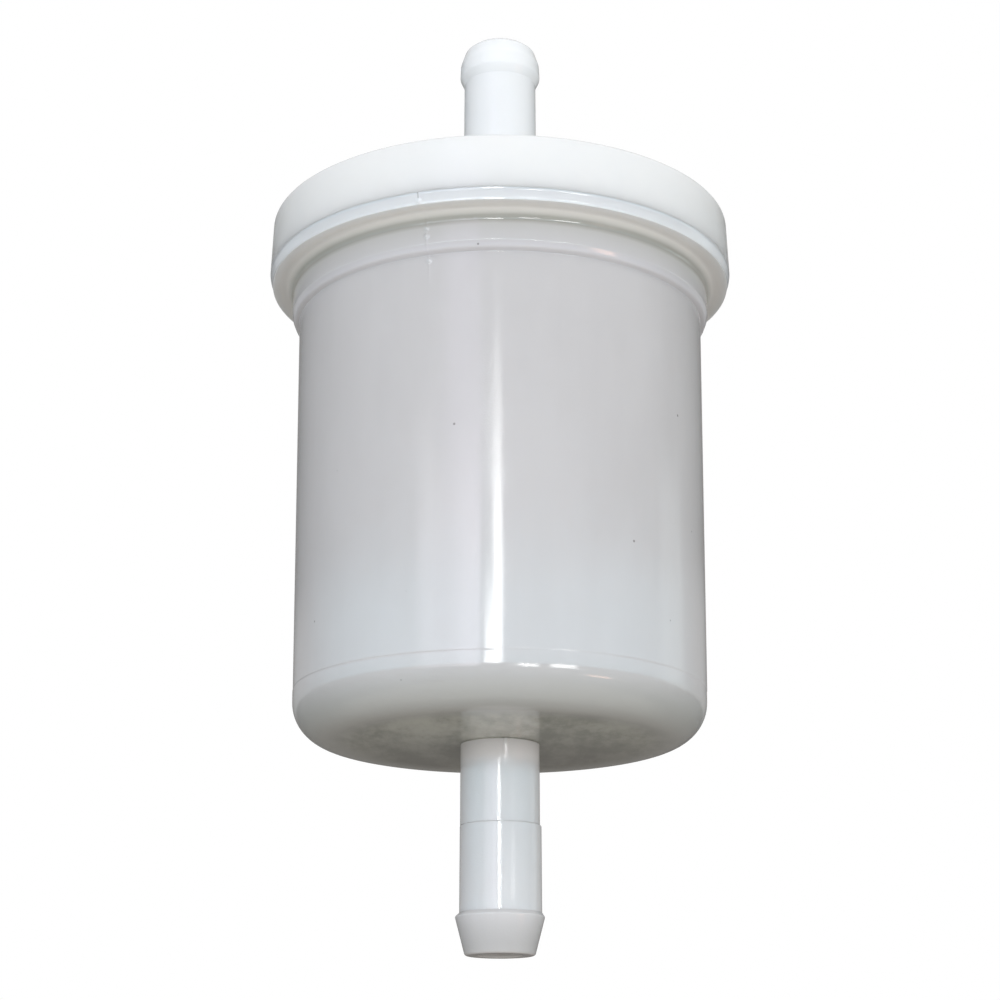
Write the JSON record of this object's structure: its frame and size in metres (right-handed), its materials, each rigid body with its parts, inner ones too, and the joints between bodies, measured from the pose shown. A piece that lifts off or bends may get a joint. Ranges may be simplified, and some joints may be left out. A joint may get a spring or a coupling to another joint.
{
  "type": "in-line fuel filter",
  "caption": "Round in-line fuel filter: a milky moulded cup with a barbed outlet tube, a flanged white cap with a barbed inlet tube, and a sealed pleated paper element inside.",
  "frame": {"origin": "centre of the outlet tube's end face, on the filter's axis", "axes": "+Z along the axis from the outlet to the inlet; +Y is away from the viewer who faces the filter, and +X is to that viewer's right"},
  "size_m": [0.0444, 0.0444, 0.0894],
  "materials": {
    "milky_plastic": "translucent milky nylon, glossy outside with faint moulding flow marks",
    "white_plastic": "opaque white nylon, satin as moulded",
    "element_plastic": "plain moulded plastic",
    "potting": "set amber adhesive",
    "filter_paper": "resin-treated cellulose filter paper",
    "clip_steel": "plated steel strip",
    "seal_rubber": "black fuel-resistant rubber"
  },
  "bodies": {
    "root": {"cup_housing": "milky_plastic", "cap_housing": "white_plastic", "top_end_disc": "element_plastic", "bottom_end_collar": "element_plastic", "top_potting": "potting", "bottom_potting": "potting", "core_tube": "element_plastic", "pleated_paper": "filter_paper", "pleat_seam_clip": "clip_steel", "spigot_seal": "seal_rubber"}
  },
  "joints": []
}
